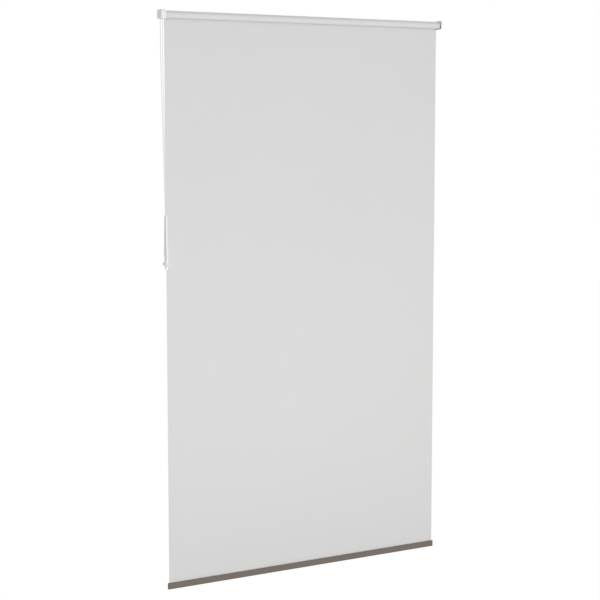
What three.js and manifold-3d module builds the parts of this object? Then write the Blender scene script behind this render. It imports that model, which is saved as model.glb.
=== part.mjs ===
// A blackout roller blind worked by an endless bead chain, in millimetres.
// +X runs along the roller away from the chain, +Y goes into the wall and +Z is up.
// The origin is the middle of the left bracket's wall flange, on the wall and level with the roller's axis.
import * as THREE from "three";
import { mergeVertices } from "three/addons/utils/BufferGeometryUtils.js";
import Module from "manifold-3d";

const wasm = await Module();
wasm.setup();

// The whole blind
const OVERALL_WIDTH = 1300; // over both covers
const DROP = 2300; // top of the roll to the bottom of the rail
const CONTROL_SIDE = 25; // outer face of the left cover to the fabric
const IDLE_SIDE = 12; // the same at the right end
const AXIS_DEPTH = 24; // wall to roller axis
const FIT = 0.3; // gap between fixed neighbours
const RUN = 0.4; // gap round and beside what turns or slides
const OVERRUN = 1; // how far a cut passes the face it goes through

// Brackets and their covers
const PLATE = 1.2;
const FLANGE_LENGTH = 22;
const FLANGE_HEIGHT = 23;
const SCREW_HOLE = 4.8;
const SCREW_SPACING = 14;
const COVER_WALL = 1.2;
const COVER_HEIGHT = 36;
const COVER_DEPTH = 43;
const COVER_CORNER = 7;
const LEFT_COVER_REACH = 19;
const RIGHT_COVER_REACH = 8;

// Bead chain and its sprocket
const BEAD_DIAMETER = 4.5;
const BEAD_PITCH = 6;
const SPROCKET_BEADS = 11;
const SPROCKET_FLANGE = 0.9;
const SPROCKET_RIM = 2.5; // flange past the chain's centre line
const POCKET_DEPTH = 0.35;
const CHAIN_SIDES = 8;
const CHAIN_STEPS_PER_SPAN = 3;

// Clutch
const STUB = 8; // square end of the spindle
const SPINDLE_RADIUS = 4.5;
const SPINDLE_TAIL = 4; // spindle past the hub
const CLIP = 0.6;
const CLIP_BITE = 0.6;
const CLIP_RADIUS = 7;
const CLIP_GAP = 5.4;
const GUARD_WALL = 0.9;
const GUARD_CLEARANCE = 1.1;
const GUARD_OVERHANG = 1.4;
const GUARD_MOUTH = 3; // axis to the edge where the guard opens downwards
const SLEEVE_WALL = 1.2;
const SLEEVE_END = 40;
const SPRING_WIRE = 1.2;
const SPRING_TURNS = 6;
const SPRING_LENGTH = 11;
const HUB_END = 58;
const HUB_NECK = 12;
const HUB_FLANGE = 3.7;
const HUB_FLANGE_CHAMFER = 0.7;
const HUB_LEAD = 1;

// Roller tube and fabric
const TUBE_RADIUS = 12.5;
const TUBE_WALL = 1;
const TUBE_OVERHANG = 0.8; // tube past the fabric at each end
const KEY_WIDTH = 2;
const KEY_HEIGHT = 1;
const TAPE = 0.2;
const TAPE_WIDTH = 10;
const SKIN_GAP = 0.1; // between tube, tape and fabric
const FABRIC = 0.36;
const TURN_GAP = 0.42; // between the wound turns
const TURNS = 1.5; // left on the tube when the blind is fully down

// Idle end
const IDLER_FLANGE = 2.4;
const IDLER_FLANGE_RADIUS = 13.5;
const IDLER_LENGTH = 44;
const IDLER_WALL = 1.4;
const PIN_RADIUS = 3;
const PIN_COLLAR = 1.5;
const PIN_COLLAR_RADIUS = 4.6;
const PIN_TAIL_RADIUS = 1.8;
const PIN_TAIL = 18;
const PIN_SPRING_WIRE = 0.9;
const PIN_SPRING_TURNS = 7;
const PIN_SPRING_LENGTH = 26;
const SPRING_CAP = 2;
const BUSH_WALL = 1.2;
const BUSH_FLANGE = 1;
const BUSH_FLANGE_RADIUS = 7;

// Bottom rail and hem
const RAIL_HEIGHT = 25.5;
const RAIL_DEPTH = 11;
const RAIL_WALL = 1.2;
const RAIL_CORNER = 2.6;
const RAIL_OVERHANG = 2; // rail past the fabric at each end
const CHANNEL_RADIUS = 2.7;
const SLOT_WIDTH = 1.6;
const SLOT_LIP = 1.4;
const SPLINE_RADIUS = 1.6;
const CAP_PLATE = 2;
const CAP_PLUG = 10;

// Chain tensioner
const TENSIONER_PLANE = 16.2; // outer face of the left cover to the middle of the pulley
const TENSIONER_DEPTH = 30; // wall to the pulley's axis
const PULLEY_DROP = 927; // roller axis to the pulley's axis
const PULLEY_BEADS = 9;
const PULLEY_WIDTH = 5.2;
const PULLEY_GROOVE = 2.75;
const AXLE_RADIUS = 1.5;
const SHELL = 1.2; // side wall of the housing
const RIM = 1.5; // front and back wall of the housing
const SHELL_CLEAR = 6; // room for the chain between the side walls
const HOUSING_HEIGHT = 163;
const HOUSING_TOP = 13.8; // depth at the top
const HOUSING_BOTTOM = 25.6; // depth beside the pulley
const HOUSING_FOOT = 14; // pulley axis to the bottom
const HOUSING_CORNER = 3;
const DIVIDER_FOOT = 16;
const DIVIDER_HEIGHT = 80;
const DIVIDER_BOTTOM = 9;
const DIVIDER_TOP = 3;
const BASE_HEIGHT = 49.7;
const BASE_THICKNESS = 7.8;
const BASE_TOP = 24;
const BASE_BOTTOM = 13;
const BASE_TAPER = 14;
const BASE_CORNER = 4;
const FOOT_RISE = 16; // bottom of the base to the arm that meets the wall
const FOOT_HEIGHT = 11;
const FOOT_THICKNESS = 5.6;
const BASE_SCREW = 3.2;
const BASE_SCREW_RISE = 3.2; // bottom of the arm to the screw

// Facets
const ROUND = 32;
const ROLL_ROUND = 40;
const FINE = 16;
const ARC = 6;
const COIL_SIDES = 5;
const COIL_STEPS = 12;
const POCKET_FACETS = 10;

// Places along X, counted from the left cover's outer face, or from the right one at the idle end
const plateStart = COVER_WALL + FIT;
const plateEnd = plateStart + PLATE;
const guardStart = plateEnd + FIT;
const guardWallEnd = guardStart + GUARD_WALL;
const sprocketStart = guardWallEnd + FIT;
const grooveWidth = BEAD_DIAMETER + 2 * FIT;
const sprocketEnd = sprocketStart + grooveWidth + 2 * SPROCKET_FLANGE;
const chainPlane = (sprocketStart + sprocketEnd) / 2;
const guardEnd = sprocketEnd + GUARD_OVERHANG;
const hubStart = guardEnd + FIT;
const tubeStart = CONTROL_SIDE - TUBE_OVERHANG;
const hubFlangeEnd = tubeStart - FIT;
const hubFlangeStart = hubFlangeEnd - HUB_FLANGE;
const tubeEnd = IDLE_SIDE - TUBE_OVERHANG;
const leftFace = -(plateStart + FLANGE_LENGTH / 2);
const rightFace = leftFace + OVERALL_WIDTH;
const fabricWidth = OVERALL_WIDTH - CONTROL_SIDE - IDLE_SIDE;

// Radii
const pitchRadius = (SPROCKET_BEADS * BEAD_PITCH) / (2 * Math.PI);
const pulleyPitch = (PULLEY_BEADS * BEAD_PITCH) / (2 * Math.PI);
const sprocketRadius = pitchRadius + SPROCKET_RIM;
const guardRadius = sprocketRadius + GUARD_CLEARANCE + GUARD_WALL;
const hubFlangeRadius = COVER_HEIGHT / 2 - COVER_WALL - 2 * RUN;
const tubeBore = TUBE_RADIUS - TUBE_WALL;
const plugRadius = tubeBore - FIT;
const springInner = SPINDLE_RADIUS + FIT;
const springOuter = springInner + SPRING_WIRE;
const sleeveInner = springOuter + FIT + FIT;
const sleeveOuter = sleeveInner + SLEEVE_WALL;
const hubBore = sleeveOuter + FIT;
const tapeRadius = TUBE_RADIUS + SKIN_GAP;
const turnPitch = FABRIC + TURN_GAP;
const rollInner = tapeRadius + TAPE + SKIN_GAP + FABRIC / 2;
const rollRadius = rollInner + TURNS * turnPitch; // middle of the fabric where it leaves the roll
const pinBore = PIN_RADIUS + FIT;
const springChamber = PIN_COLLAR_RADIUS + RUN;
const bushRadius = PIN_RADIUS + RUN + BUSH_WALL;

// Heights
const railBottom = rollRadius + FABRIC / 2 - DROP;
const railTop = railBottom + RAIL_HEIGHT;

const UP_X = new THREE.Vector3(1, 0, 0);
const UP_Y = new THREE.Vector3(0, 1, 0);
const UP_Z = new THREE.Vector3(0, 0, 1);
const SECTION_ALONG_X = new THREE.Matrix4().makeBasis(UP_Y, UP_Z, UP_X);
const TURNED_ABOUT_X = new THREE.Matrix4().makeBasis(UP_Y, UP_X, UP_Z.clone().negate());

const materials = {
  plastic: new THREE.MeshStandardMaterial({ color: 0xf1f1ef, roughness: 0.42 }),
  dark_plastic: new THREE.MeshStandardMaterial({ color: 0x3b3c3e, roughness: 0.55 }),
  nylon: new THREE.MeshStandardMaterial({ color: 0xe6e4dc, roughness: 0.5 }),
  steel: new THREE.MeshStandardMaterial({ color: 0xc9cbcd, roughness: 0.34, metalness: 0.9 }),
  aluminium: new THREE.MeshStandardMaterial({ color: 0xd0d2d4, roughness: 0.3, metalness: 1 }),
  fabric: new THREE.MeshStandardMaterial({ color: 0xd9d9d8, roughness: 0.85 }),
  tape: new THREE.MeshStandardMaterial({ color: 0xf6f3e4, roughness: 0.7 }),
  rail: new THREE.MeshStandardMaterial({ color: 0x786d62, roughness: 0.45, metalness: 0.3 }),
  chain: new THREE.MeshStandardMaterial({ color: 0xf4f4f2, roughness: 0.35 }),
};

// Solids to cut and join, and back to geometry
function solidOf(geometry) {
  const bare = new THREE.BufferGeometry();
  const whole = geometry.index ? geometry.toNonIndexed() : geometry;
  bare.setAttribute("position", whole.getAttribute("position"));
  const merged = mergeVertices(bare, 1e-4);
  return new wasm.Manifold(
    new wasm.Mesh({
      numProp: 3,
      vertProperties: merged.attributes.position.array,
      triVerts: new Uint32Array(merged.index.array),
    }),
  );
}

function geometryOf(solid) {
  const mesh = solid.getMesh();
  const geometry = new THREE.BufferGeometry();
  geometry.setAttribute("position", new THREE.BufferAttribute(mesh.vertProperties, 3));
  geometry.setIndex(new THREE.BufferAttribute(mesh.triVerts, 1));
  geometry.computeVertexNormals();
  return geometry;
}

function joined(...pieces) {
  return geometryOf(pieces.map(solidOf).reduce((all, piece) => all.add(piece)));
}

function cut(piece, ...tools) {
  return geometryOf(tools.map(solidOf).reduce((all, tool) => all.subtract(tool), solidOf(piece)));
}

// Basic forms, all in the frame of the group that holds them
function block([x0, x1], [y0, y1], [z0, z1]) {
  const box = new THREE.BoxGeometry(x1 - x0, y1 - y0, z1 - z0);
  return box.translate((x0 + x1) / 2, (y0 + y1) / 2, (z0 + z1) / 2);
}

function rod(radius, x0, x1, sides = ROUND) {
  const cylinder = new THREE.CylinderGeometry(radius, radius, x1 - x0, sides);
  return cylinder.rotateZ(-Math.PI / 2).translate((x0 + x1) / 2, 0, 0);
}

function alongY(radius, y0, y1, x, z, sides = FINE) {
  const cylinder = new THREE.CylinderGeometry(radius, radius, y1 - y0, sides);
  return cylinder.translate(x, (y0 + y1) / 2, z);
}

// A profile of [radius, x] points turned about the X axis, listed with its material on the left
function turned(profile, sides = ROUND) {
  const points = [...profile, profile[0]].map(([r, x]) => new THREE.Vector2(r, x));
  return new THREE.LatheGeometry(points, sides).applyMatrix4(TURNED_ABOUT_X);
}

function ring(inner, outer, x0, x1, sides = ROUND) {
  return turned([[inner, x0], [outer, x0], [outer, x1], [inner, x1]], sides);
}

// A section drawn in Y and Z and run along X
function extruded(shape, x0, x1, curveSegments = ARC) {
  const options = { depth: x1 - x0, bevelEnabled: false, curveSegments };
  return new THREE.ExtrudeGeometry(shape, options).applyMatrix4(SECTION_ALONG_X).translate(x0, 0, 0);
}

function sector(inner, outer, from, to, x0, x1) {
  const shape = new THREE.Shape();
  shape.absarc(0, 0, outer, from, to, false);
  shape.absarc(0, 0, inner, to, from, true);
  shape.closePath();
  return extruded(shape, x0, x1, FINE);
}

function roundedOutline(y0, y1, z0, z1, radius, target = new THREE.Shape()) {
  target.moveTo(y0 + radius, z0);
  target.lineTo(y1 - radius, z0);
  target.absarc(y1 - radius, z0 + radius, radius, -Math.PI / 2, 0, false);
  target.lineTo(y1, z1 - radius);
  target.absarc(y1 - radius, z1 - radius, radius, 0, Math.PI / 2, false);
  target.lineTo(y0 + radius, z1);
  target.absarc(y0 + radius, z1 - radius, radius, Math.PI / 2, Math.PI, false);
  target.lineTo(y0, z0 + radius);
  target.absarc(y0 + radius, z0 + radius, radius, Math.PI, 1.5 * Math.PI, false);
  return target;
}

class Helix extends THREE.Curve {
  constructor(radius, x0, x1, turns) {
    super();
    Object.assign(this, { radius, x0, x1, turns });
  }
  getPoint(t, target = new THREE.Vector3()) {
    const angle = 2 * Math.PI * this.turns * t;
    const x = this.x0 + (this.x1 - this.x0) * t;
    return target.set(x, this.radius * Math.cos(angle), this.radius * Math.sin(angle));
  }
}

function tubeAlong(curve, radius, sides, steps) {
  const section = new THREE.Shape();
  for (let i = 0; i < sides; i++) {
    const angle = (2 * Math.PI * i) / sides;
    const point = [radius * Math.cos(angle), radius * Math.sin(angle)];
    i ? section.lineTo(...point) : section.moveTo(...point);
  }
  return new THREE.ExtrudeGeometry(section, { extrudePath: curve, steps, bevelEnabled: false });
}

// A coil spring of round wire, with a printed measure of the room between its turns
function coil(name, inner, wire, x0, x1, turns) {
  const margin = wire / 2;
  const curve = new Helix(inner + margin, x0 + margin, x1 - margin, turns);
  const points = curve.getPoints(COIL_STEPS * turns);
  const gaps = points.flatMap((point, i) =>
    points.slice(i + COIL_STEPS / 2).map((other) => point.distanceTo(other) - wire),
  );
  console.log(`${name}: least gap between its turns ${Math.min(...gaps).toFixed(2)} mm`);
  return tubeAlong(curve, margin, COIL_SIDES, COIL_STEPS * turns);
}

// Brackets: an upright plate with a flange that is screwed to the wall
function bracket(socket) {
  const inset = COVER_WALL + FIT;
  const front = AXIS_DEPTH - COVER_DEPTH + inset;
  const half = COVER_HEIGHT / 2 - inset;
  const outline = roundedOutline(front, AXIS_DEPTH - inset, -half, half, COVER_CORNER - inset);
  const plate = extruded(outline, plateStart, plateEnd);
  const flangeSpan = [plateStart, plateStart + FLANGE_LENGTH];
  const across = [-FLANGE_HEIGHT / 2, FLANGE_HEIGHT / 2];
  const flange = block(flangeSpan, [AXIS_DEPTH - PLATE, AXIS_DEPTH], across);
  const neck = block([plateStart, plateEnd], [AXIS_DEPTH - COVER_CORNER, AXIS_DEPTH], across);
  const middle = (flangeSpan[0] + flangeSpan[1]) / 2;
  const holes = [-1, 1].map((side) =>
    alongY(
      SCREW_HOLE / 2,
      AXIS_DEPTH - PLATE - OVERRUN,
      AXIS_DEPTH + OVERRUN,
      middle,
      (side * SCREW_SPACING) / 2,
    ),
  );
  return cut(joined(plate, flange, neck), socket, ...holes);
}

function cover(reach, ...openings) {
  const front = AXIS_DEPTH - COVER_DEPTH;
  const half = COVER_HEIGHT / 2;
  const shell = extruded(roundedOutline(front, AXIS_DEPTH, -half, half, COVER_CORNER), 0, reach);
  const inside = roundedOutline(
    front + COVER_WALL,
    AXIS_DEPTH - COVER_WALL,
    COVER_WALL - half,
    half - COVER_WALL,
    COVER_CORNER - COVER_WALL,
  );
  const hollow = extruded(inside, COVER_WALL, reach + OVERRUN);
  const rear = block(
    [COVER_WALL, reach + OVERRUN],
    [AXIS_DEPTH - COVER_WALL - OVERRUN, AXIS_DEPTH + OVERRUN],
    [-FLANGE_HEIGHT / 2 - FIT, FLANGE_HEIGHT / 2 + FIT],
  );
  return cut(shell, hollow, rear, ...openings);
}

function chainSlot() {
  const halfWidth = BEAD_DIAMETER / 2 + 2 * FIT;
  const halfLength = pitchRadius + halfWidth;
  return block(
    [chainPlane - halfWidth, chainPlane + halfWidth],
    [-halfLength, halfLength],
    [-COVER_HEIGHT / 2 - OVERRUN, COVER_WALL + OVERRUN - COVER_HEIGHT / 2],
  );
}

function squareHole(x0, x1) {
  const half = STUB / 2 + FIT;
  return block([x0, x1], [-half, half], [-half, half]);
}

// Clutch: a fixed guard and spindle, and the sprocket that drives the hub through two wrap springs
function clutchHousing() {
  const disc = rod(guardRadius, guardStart, guardWallEnd);
  const shroud = ring(guardRadius - GUARD_WALL, guardRadius, guardStart, guardEnd);
  const mouth = block(
    [guardWallEnd, guardEnd + OVERRUN],
    [-guardRadius - OVERRUN, guardRadius + OVERRUN],
    [-guardRadius - OVERRUN, -GUARD_MOUTH],
  );
  return cut(joined(disc, shroud), mouth, squareHole(guardStart - OVERRUN, guardWallEnd + OVERRUN));
}

function clutchSpindle() {
  const half = STUB / 2;
  const square = block([plateStart + FIT, sprocketStart], [-half, half], [-half, half]);
  const shaft = rod(SPINDLE_RADIUS, guardWallEnd, HUB_END + SPINDLE_TAIL);
  const groove = ring(
    SPINDLE_RADIUS - CLIP_BITE - FIT,
    SPINDLE_RADIUS + OVERRUN,
    HUB_END,
    HUB_END + CLIP + 2 * FIT,
  );
  return cut(joined(square, shaft), groove);
}

function retainingClip() {
  const start = HUB_END + FIT;
  const inner = SPINDLE_RADIUS - CLIP_BITE;
  const washer = ring(inner, CLIP_RADIUS, start, start + CLIP);
  const gap = block(
    [start - OVERRUN, start + CLIP + OVERRUN],
    [-CLIP_GAP / 2, CLIP_GAP / 2],
    [-CLIP_RADIUS - OVERRUN, 0],
  );
  return cut(washer, gap);
}

const SLEEVE_ARC = (5 / 6) * Math.PI;
const FORK_ARC = (2 / 3) * Math.PI;

function sprocket() {
  const core = pitchRadius - BEAD_DIAMETER / 2 - FIT;
  const innerFace = sprocketStart + SPROCKET_FLANGE;
  const outerFace = sprocketEnd - SPROCKET_FLANGE;
  const wheel = turned([
    [springInner, sprocketStart],
    [sprocketRadius, sprocketStart],
    [sprocketRadius, innerFace],
    [core, innerFace],
    [core, outerFace],
    [sprocketRadius, outerFace],
    [sprocketRadius, sprocketEnd],
    [springInner, sprocketEnd],
  ]);
  const start = sprocketEnd - SPROCKET_FLANGE;
  const sleeve = sector(sleeveInner, sleeveOuter, -SLEEVE_ARC / 2, SLEEVE_ARC / 2, start, SLEEVE_END);
  const pockets = [];
  for (let i = 0; i < SPROCKET_BEADS; i++) {
    const angle = (2 * Math.PI * i) / SPROCKET_BEADS;
    const pocket = new THREE.SphereGeometry(grooveWidth / 2 + POCKET_DEPTH, POCKET_FACETS, ARC);
    pocket.translate(chainPlane, pitchRadius * Math.cos(angle), pitchRadius * Math.sin(angle));
    pockets.push(pocket);
  }
  return cut(joined(wheel, sleeve), ...pockets);
}

function wrapSpring(index) {
  const start = guardEnd + index * (SPRING_LENGTH + 2 * RUN);
  return coil("wrap spring", springInner, SPRING_WIRE, start, start + SPRING_LENGTH, SPRING_TURNS);
}

function keySlot(x0, x1) {
  const half = KEY_WIDTH / 2 + FIT;
  return block([x0, x1], [-half, half], [tubeBore - KEY_HEIGHT - FIT, tubeBore + OVERRUN]);
}

function driveHub() {
  const chamber = SLEEVE_END + 2 * RUN;
  const body = turned([
    [hubBore, hubStart],
    [HUB_NECK, hubStart],
    [HUB_NECK, hubFlangeStart],
    [hubFlangeRadius - HUB_FLANGE_CHAMFER, hubFlangeStart],
    [hubFlangeRadius, hubFlangeStart + HUB_FLANGE_CHAMFER],
    [hubFlangeRadius, hubFlangeEnd - HUB_FLANGE_CHAMFER],
    [hubFlangeRadius - HUB_FLANGE_CHAMFER, hubFlangeEnd],
    [plugRadius, hubFlangeEnd],
    [plugRadius, HUB_END - HUB_LEAD],
    [plugRadius - HUB_LEAD, HUB_END],
    [springInner, HUB_END],
    [springInner, chamber],
    [hubBore, chamber],
  ]);
  const fork = sector(
    sleeveInner,
    hubBore + SLEEVE_WALL,
    Math.PI - FORK_ARC / 2,
    Math.PI + FORK_ARC / 2,
    hubStart + RUN,
    chamber + RUN,
  );
  return cut(joined(body, fork), keySlot(hubFlangeEnd, HUB_END + OVERRUN));
}

// Roller tube with an inside key, the tape on it and the turns of fabric left on it
function rollerTube() {
  const shape = new THREE.Shape();
  shape.absarc(0, 0, TUBE_RADIUS, 0, 2 * Math.PI, false);
  const bore = new THREE.Path();
  const half = Math.asin(KEY_WIDTH / 2 / tubeBore);
  bore.absarc(0, 0, tubeBore, Math.PI / 2 + half, Math.PI / 2 - half + 2 * Math.PI, false);
  bore.lineTo(KEY_WIDTH / 2, tubeBore - KEY_HEIGHT);
  bore.lineTo(-KEY_WIDTH / 2, tubeBore - KEY_HEIGHT);
  bore.closePath();
  shape.holes.push(bore);
  return extruded(shape, tubeStart, OVERALL_WIDTH - tubeEnd, ROLL_ROUND);
}

function fabricTape() {
  const half = TAPE_WIDTH / TUBE_RADIUS / 2;
  return sector(
    tapeRadius,
    tapeRadius + TAPE,
    Math.PI - half,
    Math.PI + half,
    CONTROL_SIDE,
    OVERALL_WIDTH - IDLE_SIDE,
  );
}

// The fabric leaves the roll at the back, at angle 0, and winds inwards over the top
function rollPoint(angle, offset) {
  const radius = rollRadius - (turnPitch * angle) / (2 * Math.PI) + offset;
  return new THREE.Vector2(radius * Math.cos(angle), radius * Math.sin(angle));
}

function fabricRoll() {
  const count = Math.round(TURNS * ROLL_ROUND);
  const outside = [];
  const inside = [];
  for (let i = 0; i <= count; i++) {
    const angle = (2 * Math.PI * TURNS * i) / count;
    outside.push(rollPoint(angle, FABRIC / 2));
    inside.push(rollPoint(angle, -FABRIC / 2));
  }
  const inner = outside.slice(ROLL_ROUND);
  const gaps = inner.flatMap((point) =>
    inside.slice(0, inside.length - ROLL_ROUND).map((other) => point.distanceTo(other)),
  );
  console.log(`fabric roll: least gap between its turns ${Math.min(...gaps).toFixed(2)} mm`);
  const shape = new THREE.Shape([...outside, ...inside.reverse()]);
  return extruded(shape, CONTROL_SIDE, OVERALL_WIDTH - IDLE_SIDE);
}

// Idle end: a plug in the tube, and a sprung pin that runs in a bush in the right bracket
const idlerFlangeStart = tubeEnd - FIT - IDLER_FLANGE;
const collarStart = tubeEnd + IDLER_WALL + FIT;
const springStart = collarStart + PIN_COLLAR + FIT;
const springEnd = springStart + PIN_SPRING_LENGTH;

function idlerPlug() {
  const body = turned([
    [pinBore, idlerFlangeStart],
    [IDLER_FLANGE_RADIUS, idlerFlangeStart],
    [IDLER_FLANGE_RADIUS, tubeEnd - FIT],
    [plugRadius, tubeEnd - FIT],
    [plugRadius, IDLER_LENGTH],
    [springChamber, IDLER_LENGTH],
    [springChamber, tubeEnd + IDLER_WALL],
    [pinBore, tubeEnd + IDLER_WALL],
  ]);
  return cut(body, keySlot(tubeEnd - FIT, IDLER_LENGTH + OVERRUN));
}

function idlerPin() {
  return joined(
    rod(PIN_RADIUS, plateStart + FIT, collarStart + PIN_COLLAR / 2, FINE),
    rod(PIN_COLLAR_RADIUS, collarStart, collarStart + PIN_COLLAR, FINE),
    rod(PIN_TAIL_RADIUS, collarStart + PIN_COLLAR / 2, collarStart + PIN_TAIL, FINE),
  );
}

function idlerSpring() {
  const inner = springChamber - FIT - PIN_SPRING_WIRE;
  return coil("idler spring", inner, PIN_SPRING_WIRE, springStart, springEnd, PIN_SPRING_TURNS);
}

function springCap() {
  const start = springEnd + FIT;
  return ring(PIN_TAIL_RADIUS + RUN, springChamber - FIT, start, start + SPRING_CAP, FINE);
}

function idlerBush() {
  const start = plateEnd + FIT;
  return turned([
    [PIN_RADIUS + RUN, plateStart],
    [bushRadius, plateStart],
    [bushRadius, start],
    [BUSH_FLANGE_RADIUS, start],
    [BUSH_FLANGE_RADIUS, start + BUSH_FLANGE],
    [PIN_RADIUS + RUN, start + BUSH_FLANGE],
  ]);
}

// The sheet hangs from the back of the roll into the rail
const sheetY = rollRadius - AXIS_DEPTH;

function fabricSheet() {
  const across = [leftFace + CONTROL_SIDE, rightFace - IDLE_SIDE];
  return block(across, [sheetY - FABRIC / 2, sheetY + FABRIC / 2], [railTop + FIT, -FIT]);
}

// Rail pieces, in a frame at the middle of the rail's length and depth and at its bottom
const channelCentre = RAIL_HEIGHT - SLOT_LIP - CHANNEL_RADIUS;
const railHalf = fabricWidth / 2 + RAIL_OVERHANG;
const hollowTop = channelCentre - CHANNEL_RADIUS - RAIL_WALL;

function railHollow(clearance) {
  const inset = RAIL_WALL + clearance;
  return [inset - RAIL_DEPTH / 2, RAIL_DEPTH / 2 - inset, inset, hollowTop - clearance, RAIL_CORNER - RAIL_WALL];
}

function bottomRail() {
  const outline = new THREE.Shape();
  const [y1, z1, r] = [RAIL_DEPTH / 2, RAIL_HEIGHT, RAIL_CORNER];
  const mouth = Math.acos(SLOT_WIDTH / 2 / CHANNEL_RADIUS);
  outline.moveTo(y1 - r, z1);
  outline.lineTo(SLOT_WIDTH / 2, z1);
  outline.absarc(0, channelCentre, CHANNEL_RADIUS, mouth, Math.PI - mouth, true);
  outline.lineTo(-SLOT_WIDTH / 2, z1);
  outline.absarc(r - y1, z1 - r, r, Math.PI / 2, Math.PI, false);
  outline.absarc(r - y1, r, r, Math.PI, 1.5 * Math.PI, false);
  outline.absarc(y1 - r, r, r, -Math.PI / 2, 0, false);
  outline.absarc(y1 - r, z1 - r, r, 0, Math.PI / 2, false);
  outline.closePath();
  outline.holes.push(roundedOutline(...railHollow(0), new THREE.Path()));
  return extruded(outline, -railHalf, railHalf);
}

function railCap(side) {
  const outline = roundedOutline(-RAIL_DEPTH / 2, RAIL_DEPTH / 2, 0, RAIL_HEIGHT, RAIL_CORNER);
  const face = railHalf + FIT;
  const plateSpan = side > 0 ? [face, face + CAP_PLATE] : [-face - CAP_PLATE, -face];
  const plugSpan = side > 0 ? [face - CAP_PLUG, face + FIT] : [-face - FIT, CAP_PLUG - face];
  const plug = extruded(roundedOutline(...railHollow(FIT)), ...plugSpan);
  return joined(extruded(outline, ...plateSpan), plug);
}

function hemLoop() {
  const inner = SPLINE_RADIUS + FIT;
  const loop = ring(inner, inner + FABRIC, -fabricWidth / 2, fabricWidth / 2, FINE);
  loop.translate(0, 0, channelCentre);
  const stem = block(
    [-fabricWidth / 2, fabricWidth / 2],
    [-FABRIC / 2, FABRIC / 2],
    [channelCentre + inner + FABRIC / 2, RAIL_HEIGHT],
  );
  return joined(loop, stem);
}

function hemSpline() {
  return rod(SPLINE_RADIUS, -fabricWidth / 2, fabricWidth / 2, FINE).translate(0, 0, channelCentre);
}

// Tensioner pieces, in a frame at the pulley's middle
const housingHalf = SHELL_CLEAR / 2 + SHELL;
const housingTop = HOUSING_HEIGHT - HOUSING_FOOT;

function taperOutline(inset) {
  const [bottom, top] = [HOUSING_BOTTOM / 2 - inset, HOUSING_TOP / 2 - inset];
  const radius = HOUSING_CORNER - inset / 2;
  const foot = inset - HOUSING_FOOT;
  const shape = new THREE.Shape();
  shape.moveTo(top, housingTop + (inset ? OVERRUN : 0));
  shape.lineTo(-top, housingTop + (inset ? OVERRUN : 0));
  shape.lineTo(-bottom, 0);
  shape.absarc(radius - bottom, foot + radius, radius, Math.PI, 1.5 * Math.PI, false);
  shape.absarc(bottom - radius, foot + radius, radius, -Math.PI / 2, 0, false);
  shape.lineTo(bottom, 0);
  shape.closePath();
  return shape;
}

function housingShell(side) {
  const parting = FIT / 2;
  const whole = side > 0 ? [parting, housingHalf] : [-housingHalf, -parting];
  const room = side > 0 ? [-OVERRUN, SHELL_CLEAR / 2] : [-SHELL_CLEAR / 2, OVERRUN];
  const rib = side > 0 ? [parting, housingHalf - SHELL / 2] : [SHELL / 2 - housingHalf, -parting];
  const divider = new THREE.Shape();
  divider.moveTo(-DIVIDER_BOTTOM / 2, DIVIDER_FOOT);
  divider.lineTo(DIVIDER_BOTTOM / 2, DIVIDER_FOOT);
  divider.lineTo(DIVIDER_TOP / 2, DIVIDER_FOOT + DIVIDER_HEIGHT);
  divider.lineTo(-DIVIDER_TOP / 2, DIVIDER_FOOT + DIVIDER_HEIGHT);
  divider.closePath();
  const shell = cut(extruded(taperOutline(0), ...whole), extruded(taperOutline(RIM), ...room));
  const hole = rod(AXLE_RADIUS + FIT, -housingHalf - OVERRUN, housingHalf + OVERRUN, FINE);
  return cut(joined(shell, extruded(divider, ...rib)), hole);
}

function pulley() {
  const profile = [[AXLE_RADIUS + RUN, -PULLEY_WIDTH / 2]];
  for (let i = 0; i <= ARC; i++) {
    const x = PULLEY_WIDTH * (i / ARC - 1 / 2);
    profile.push([pulleyPitch - Math.sqrt(PULLEY_GROOVE ** 2 - x ** 2), x]);
  }
  profile.push([AXLE_RADIUS + RUN, PULLEY_WIDTH / 2]);
  return turned(profile, FINE + ARC + 2);
}

function tensionerBase() {
  const top = -HOUSING_FOOT - FIT;
  const bottom = top - BASE_HEIGHT;
  const half = BASE_THICKNESS / 2;
  const shape = new THREE.Shape();
  shape.moveTo(BASE_TOP / 2, top);
  shape.lineTo(-BASE_TOP / 2, top);
  shape.lineTo(-BASE_TOP / 2, bottom + BASE_TAPER);
  shape.absarc(BASE_CORNER - BASE_BOTTOM / 2, bottom + BASE_CORNER, BASE_CORNER, Math.PI, 1.5 * Math.PI, false);
  shape.absarc(BASE_BOTTOM / 2 - BASE_CORNER, bottom + BASE_CORNER, BASE_CORNER, -Math.PI / 2, 0, false);
  shape.lineTo(BASE_TOP / 2, bottom + BASE_TAPER);
  shape.closePath();
  const foot = [bottom + FOOT_RISE, bottom + FOOT_RISE + FOOT_HEIGHT];
  const arm = block([-FOOT_THICKNESS / 2, FOOT_THICKNESS / 2], [0, TENSIONER_DEPTH], foot);
  const hole = alongY(BASE_SCREW / 2, -BASE_TOP, TENSIONER_DEPTH + OVERRUN, 0, foot[0] + BASE_SCREW_RISE);
  return cut(joined(extruded(shape, -half, half), arm), hole);
}

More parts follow.
